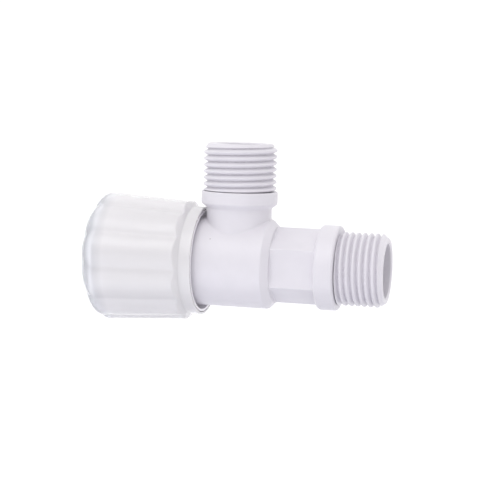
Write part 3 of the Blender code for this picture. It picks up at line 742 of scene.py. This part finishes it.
def cross_recess_arm(top, way, head, head_height, turn):
    """Cutter for one arm of a screw's cross recess, tapering from above the head into it."""
    loops = []
    for x, reach, half in ((top + way, head * 0.55, 0.42),
                           (top - way * head_height * 0.55, head * 0.3, 0.3)):
        corners = [(half, -reach), (half, reach), (-half, reach), (-half, -reach)]
        loops.append([(x, *(Matrix.Rotation(turn, 2) @ Vector(corner))) for corner in corners])
    above, below = loops
    return skin([[(above[0][0], 0, 0)], above, below, [(below[0][0], 0, 0)]])


def build_screw(name, body, head_at_right, head, head_height, shank, material):
    """A pan-head screw with a cross recess; head and shank are radii."""
    low, high = span(name)
    way = 1 if head_at_right else -1
    top, tip = (high, low) if head_at_right else (low, high)
    under = top - way * head_height
    shoulder = under - way * 0.2
    pitch, thread_root, crest_share, root_share = 0.7, shank * 0.8, 0.12, 0.2
    angles = even_angles(STEPS_ROUND_SMALL)

    def thread(x, angle):
        return power_thread(x, way * angle, shank, thread_root, pitch, crest_share, root_share)

    rings = lathe([(tip, 0), (tip, shank * 0.55), (tip + way * 0.6, shank * 0.85)], angles)
    rings += thread_rings(tip + way * 0.65, under - way * 0.3, way * 0.08, thread, angles)
    rings += lathe(rounded([(shoulder, shank), (under, shank), (under, head, 0.2),
                            (under + way * head_height * 0.55, head, 0.3),
                            (top, head * 0.7, 0.5), (top, 0)]), angles)
    screw = make_object("fine_" + name, *skin(rings))
    for turn in (0, math.pi / 2):
        carve(screw, "DIFFERENCE", cross_recess_arm(top, way, head, head_height, turn))
    settle(screw, body, material)


def build_o_ring(node, material):
    """A rubber ring of round section between the spindle's groove and the gland."""
    left, right = span(node)
    centre = Vector(((left + right) / 2, (O_RING_INNER + GLAND) / 2))
    radius = (right - left) / 2
    section_steps = 20
    section = [tuple(centre + radius * Vector((math.cos(a), math.sin(a))))
               for a in even_angles(section_steps)]
    build_turned(node, section, "knob_set", material, closed=True)


def build_gasket(material):
    """The rubber ring between the bonnet's flange and the barrel."""
    build_turned("bonnet_gasket", [(GASKET_LEFT, 10.3, 0.2), (GASKET_LEFT, 12.4, 0.2),
                                   (GASKET_RIGHT, 12.4, 0.2), (GASKET_RIGHT, 10.3, 0.2)],
                 "valve", material, closed=True)


def build_jumper(material):
    """The loose disc that carries the seat washer, and its stem in the spindle's foot."""
    disc, disc_left = 7.8, JUMPER_RIGHT - 2.6
    stem = 2.2
    hole, hole_left = 1.9, -1.0
    build_turned("jumper", [(hole_left, 0), (hole_left, hole), (JUMPER_RIGHT, hole),
                            (JUMPER_RIGHT, disc, 0.3), (disc_left, disc, 0.5),
                            (disc_left, stem, 0.8), (JUMPER_STEM_LEFT, stem, 0.5),
                            (JUMPER_STEM_LEFT, 0)],
                 "jumper_set", material)


def build_washers(rubber, steel):
    """The seat washer and the washer under the knob's screw."""
    build_turned("seat_washer", [(WASHER_LEFT, 1.9), (WASHER_LEFT, 7.5, 0.3),
                                 (WASHER_RIGHT, 7.5, 0.3), (WASHER_RIGHT, 1.9, 0.2)],
                 "jumper_set", rubber, closed=True)
    build_turned("knob_screw_washer", [(SCREW_WASHER_LEFT, 2.0), (SCREW_WASHER_LEFT, 4.0, 0.15),
                                       (SCREW_WASHER_RIGHT, 4.0, 0.1), (SCREW_WASHER_RIGHT, 2.0)],
                 "knob_set", steel, closed=True)


def build_inner_pieces(materials):
    """Everything that the body and the knob hide."""
    build_bonnet(materials["acetal"])
    build_spindle(materials["brass"])
    build_gasket(materials["rubber"])
    build_jumper(materials["acetal"])
    build_washers(materials["rubber"], materials["steel"])
    for node in ("stem_o_ring_inner", "stem_o_ring_outer"):
        build_o_ring(node, materials["rubber"])
    build_screw("washer_screw", "jumper_set", True, 3.0, 1.5, 1.5, materials["brass"])
    build_screw("knob_screw", "knob_set", False, 3.4, 1.9, 1.6, materials["steel"])


# ---------------------------------------------------------------- materials

class Surface:
    """A material's node tree round one Principled shader."""

    def __init__(self, name, **uniform):
        self.material = bpy.data.materials.new(name)
        self.material.use_nodes = True
        self.nodes = self.material.node_tree.nodes
        self.links = self.material.node_tree.links
        self.shader = self.nodes["Principled BSDF"]
        for socket, value in uniform.items():
            self.shader.inputs[socket.replace("_", " ")].default_value = value
        self.place = self.nodes.new("ShaderNodeTexCoord").outputs["Object"]

    def node(self, kind, inputs=None, **settings):
        """A new node; an input is linked if its value is another node's socket, or else set."""
        made = self.nodes.new(kind)
        for name, value in settings.items():
            setattr(made, name, value)
        for socket, value in (inputs or {}).items():
            if isinstance(value, bpy.types.NodeSocket):
                self.links.new(value, made.inputs[socket])
            else:
                made.inputs[socket].default_value = value
        return made

    def noise(self, size, detail=2.0, place=None):
        """Noise whose features are about size metres across, around 0.5."""
        return self.node("ShaderNodeTexNoise", {"Vector": place or self.place, "Scale": 1 / size,
                                                "Detail": detail}).outputs["Fac"]

    def rescaled(self, value, low, high, source=(0.3, 0.7)):
        """The value's range source spread over low to high, and held at its ends."""
        return self.node("ShaderNodeMapRange", {"Value": value, "From Min": source[0],
                                                "From Max": source[1], "To Min": low,
                                                "To Max": high}).outputs["Result"]

    def mixed(self, share, first, second):
        """The first colour where share is 0, the second where it is 1."""
        mix = self.node("ShaderNodeMix", {"Factor": share}, data_type="RGBA")
        for socket, colour in ((mix.inputs[6], first), (mix.inputs[7], second)):
            if isinstance(colour, bpy.types.NodeSocket):
                self.links.new(colour, socket)
            else:
                socket.default_value = colour
        return mix.outputs[2]

    def set(self, socket, value):
        """Link a value into one of the shader's sockets."""
        self.links.new(value, self.shader.inputs[socket])

    def bump(self, layers):
        """Chain bumps of (height, depth in metres) layers into the shader's normal."""
        normal = None
        for height, depth in layers:
            bump = self.node("ShaderNodeBump", {"Height": height, "Distance": depth,
                                                "Strength": 1.0})
            if normal is not None:
                self.links.new(normal, bump.inputs["Normal"])
            normal = bump.outputs["Normal"]
        self.set("Normal", normal)


def speck_mask(surface):
    """Share of dust: a dot about 0.4 mm across in some of the cells of a sparse pattern."""
    cells_per_metre = 130.0
    dot_edge = (0.018, 0.03)
    chosen_cells = (0.62, 0.63)
    strongest = 0.75
    cells = surface.node("ShaderNodeTexVoronoi", {"Vector": surface.place,
                                                  "Scale": cells_per_metre})
    dot = surface.rescaled(cells.outputs["Distance"], 1.0, 0.0, dot_edge)
    chosen = surface.rescaled(cells.outputs["Color"], 0.0, strongest, chosen_cells)
    both = surface.node("ShaderNodeMath", {0: dot, 1: chosen}, operation="MULTIPLY")
    return both.outputs[0]


def moulded_plastic(name, colour, roughness, specks=True, wave=0.00006):
    """Moulded plastic: faint flow mottling, painted shade darkening its crevices and maybe a few
    dust specks.

    wave is the depth in metres of the slow unevenness that its mould leaves.
    """
    surface = Surface(name, IOR=1.5)
    colour = Vector(colour)
    mottled, crevice_shade = colour * 0.965, colour * 0.66
    mottle = surface.rescaled(surface.noise(0.006, 3.0), 0.0, 1.0)
    tone = surface.mixed(mottle, (*colour, 1), (*mottled, 1))
    # Painted shade: where ambient occlusion finds a crevice within 0.6 mm, the colour darkens to
    # about two thirds of its own.
    openness = surface.node("ShaderNodeAmbientOcclusion", {"Distance": 0.0006}, samples=8)
    unshaded = surface.rescaled(openness.outputs["AO"], 0.0, 1.0, (0.3, 0.55))
    tone = surface.mixed(unshaded, (*crevice_shade, 1), tone)
    if specks:
        tone = surface.mixed(speck_mask(surface), tone, (0.22, 0.2, 0.2, 1))
    surface.set("Base Color", tone)
    surface.set("Roughness", surface.rescaled(surface.noise(0.0025, 4.0), roughness - 0.05,
                                              roughness + 0.06))
    surface.bump([(surface.noise(0.009, 1.0), wave), (surface.noise(0.0004, 3.0), 0.000006)])
    return surface.material


def clear_acrylic(name):
    """Acrylic, hazy along the grip and clearer in its thick rounded end, faintly wavy."""
    surface = Surface(name, IOR=1.49)
    along = surface.node("ShaderNodeSeparateXYZ", {0: surface.place}).outputs["X"]
    shoulder = CROSSING.x + SHOULDER * MM
    half_change = 0.003
    clear = surface.rescaled(along, 1.0, 0.0, (shoulder - half_change, shoulder + half_change))
    surface.set("Transmission Weight", surface.rescaled(clear, 0.4, 0.67, (0, 1)))
    surface.set("Base Color", surface.mixed(clear, (0.995, 0.978, 1.0, 1), (0.935, 0.948, 1.0, 1)))
    surface.set("Roughness", surface.rescaled(surface.noise(0.003, 3.0), 0.05, 0.12))
    surface.bump([(surface.noise(0.007, 1.0), 0.00003)])
    return surface.material


def rubber(name):
    """Matt black rubber with a fine grain."""
    surface = Surface(name, IOR=1.52)
    surface.set("Base Color", surface.mixed(surface.noise(0.001, 4.0), (0.012, 0.012, 0.013, 1),
                                            (0.035, 0.034, 0.034, 1)))
    surface.set("Roughness", surface.rescaled(surface.noise(0.0006, 3.0), 0.5, 0.75))
    surface.bump([(surface.noise(0.0003, 3.0), 0.00001)])
    return surface.material


def turned_metal(name, colour, shade, roughness):
    """Machined metal with fine turning rings about X."""
    surface = Surface(name, Metallic=1.0)
    stretched = surface.node("ShaderNodeMapping", {"Vector": surface.place,
                                                   "Scale": (1.0, 0.02, 0.02)}).outputs["Vector"]
    lines = surface.noise(0.00012, 2.0, stretched)
    surface.set("Base Color", surface.mixed(surface.noise(0.0015, 3.0), colour, shade))
    surface.set("Roughness", surface.rescaled(lines, roughness - 0.06, roughness + 0.1))
    surface.bump([(lines, 0.000006)])
    return surface.material


def make_materials():
    """All materials by a short name."""
    return {
        "pvc": moulded_plastic("moulded_pvc", (0.725, 0.703, 0.752), 0.38),
        "core": moulded_plastic("knob_white", (0.96, 0.94, 0.975), 0.4),
        "cap": moulded_plastic("cap_white", (0.78, 0.765, 0.81), 0.3, specks=False,
                               wave=0.00001),
        "acetal": moulded_plastic("satin_acetal", (0.72, 0.715, 0.69), 0.42, specks=False),
        "clear": clear_acrylic("clear_acrylic"),
        "rubber": rubber("black_rubber"),
        "brass": turned_metal("turned_brass", (0.74, 0.53, 0.25, 1), (0.62, 0.43, 0.19, 1), 0.3),
        "steel": turned_metal("plain_steel", (0.64, 0.64, 0.65, 1), (0.54, 0.54, 0.56, 1), 0.3),
    }


# ---------------------------------------------------------------- studio

def make_floor():
    """A wide pale floor well below the valve, glowing faintly farther out, with a painted shadow
    that makes it a little less bright right under it.
    """
    depth = 0.16
    radii = (0.1, 0.4, 1.2, 4.0)
    rings = [[(y, z, 0) for _, y, z in ring(0, radius, even_angles(STEPS_ROUND_SMALL))]
             for radius in radii]
    verts, faces = skin([[(0, 0, 0)]] + rings)
    mesh = bpy.data.meshes.new("floor")
    mesh.from_pydata(verts, [], faces)
    floor = bpy.data.objects.new("floor", mesh)
    bpy.context.scene.collection.objects.link(floor)
    centre = (cad_box[0] + cad_box[1]) / 2
    floor.location = (centre.x, centre.y, -depth)
    surface = Surface("floor_pale", Roughness=0.7, Specular_IOR_Level=0.2, Emission_Strength=1.0)
    from_middle = surface.node("ShaderNodeVectorMath", {0: surface.place}, operation="LENGTH")
    beyond_painted_shadow = surface.node("ShaderNodeMapRange",
                        {"Value": from_middle.outputs["Value"], "From Min": 0.06,
                         "From Max": 0.24}, interpolation_type="SMOOTHSTEP").outputs["Result"]
    # Painted shadow: the middle under the valve is darker grey and does not glow.
    surface.set("Base Color", surface.mixed(beyond_painted_shadow, (0.46, 0.46, 0.50, 1), (0.80, 0.80, 0.81, 1)))
    surface.set("Emission Color", surface.mixed(beyond_painted_shadow, (0.0, 0.0, 0.0, 1), (0.25, 0.25, 0.25, 1)))
    floor.data.materials.append(surface.material)


def make_world():
    """White behind the valve and all round the horizon, darker low in front and to the right."""
    world = bpy.data.worlds.new("studio")
    bpy.context.scene.world = world
    world.use_nodes = True
    nodes, links = world.node_tree.nodes, world.node_tree.links
    background = nodes["Background"]
    direction = nodes.new("ShaderNodeTexCoord").outputs["Generated"]
    parts = nodes.new("ShaderNodeSeparateXYZ")
    links.new(direction, parts.inputs[0])

    def share(axis, start, end):
        node = nodes.new("ShaderNodeMapRange")
        node.interpolation_type = "SMOOTHSTEP"
        node.inputs["From Min"].default_value = start
        node.inputs["From Max"].default_value = end
        links.new(parts.outputs[axis], node.inputs["Value"])
        return node.outputs["Result"]

    def blend(factor, first, second):
        node = nodes.new("ShaderNodeMix")
        node.data_type = "RGBA"
        links.new(factor, node.inputs["Factor"])
        for socket, colour in ((node.inputs[6], first), (node.inputs[7], second)):
            if isinstance(colour, tuple):
                socket.default_value = (*colour, 1)
            else:
                links.new(colour, socket)
        return node.outputs[2]

    white = (1.06, 1.06, 1.06)
    behind = blend(share("Z", 0.3, 0.8), white, (1.15, 1.15, 1.15))
    front = blend(share("Z", 0.05, 0.65), (0.23, 0.22, 0.24), (1.3, 1.3, 1.3))
    right = blend(share("X", 0.3, 0.95), front, (0.45, 0.43, 0.45))
    near = blend(share("Z", 0.02, 0.05), white, right)
    links.new(blend(share("Y", -0.15, 0.2), near, behind), background.inputs["Color"])


def make_light(name, place, target, size, power, colour=(1, 1, 1)):
    """A soft rectangular light; place and target are in metres."""
    light = bpy.data.lights.new(name, "AREA")
    light.shape = "RECTANGLE"
    light.size, light.size_y = size
    light.energy = power
    light.color = colour
    lamp = bpy.data.objects.new(name, light)
    bpy.context.scene.collection.objects.link(lamp)
    lamp.location = place
    lamp.rotation_euler = (Vector(target) - Vector(place)).to_track_quat("-Z", "Y").to_euler()


def make_lights():
    """A key light above the front left, and a weak, cool one from below."""
    target = (cad_box[0] + cad_box[1]) / 2
    make_light("key", target + Vector((-0.10, -0.42, 0.46)), target, (0.5, 0.35), 0.65)
    make_light("under", target + Vector((-0.04, -0.13, -0.13)), target, (0.3, 0.12), 0.068,
               (0.86, 0.9, 1.0))


def make_camera():
    """A long lens from the front, a little to the right, a little above and slightly rolled."""
    azimuth, elevation, roll = math.radians(14.73), math.radians(6.58), math.radians(1.5)
    distance = 0.3804
    slide_right, slide_up = 0.00347, 0.00356
    back = Vector((math.sin(azimuth) * math.cos(elevation),
                   -math.cos(azimuth) * math.cos(elevation), math.sin(elevation)))
    level_right = (-back).cross(Vector((0, 0, 1))).normalized()
    level_up = level_right.cross(-back)
    right = level_right * math.cos(roll) + level_up * math.sin(roll)
    up = level_up * math.cos(roll) - level_right * math.sin(roll)
    data = bpy.data.cameras.new("camera")
    data.sensor_width = 36.0
    data.lens = 94.68
    camera = bpy.data.objects.new("camera", data)
    bpy.context.scene.collection.objects.link(camera)
    place = CROSSING + back * distance + right * slide_right + up * slide_up
    turn = Matrix((right, up, back)).transposed().to_4x4()
    camera.matrix_world = Matrix.Translation(place) @ turn
    bpy.context.scene.camera = camera


materials = make_materials()
build_valve_body(materials["pvc"])
build_knob_core(materials["core"])
build_knob_shell(materials["clear"])
build_index_cap(materials["cap"])
build_inner_pieces(materials)
make_floor()
make_world()
make_lights()
make_camera()
bpy.context.scene.view_settings.view_transform = "Standard"
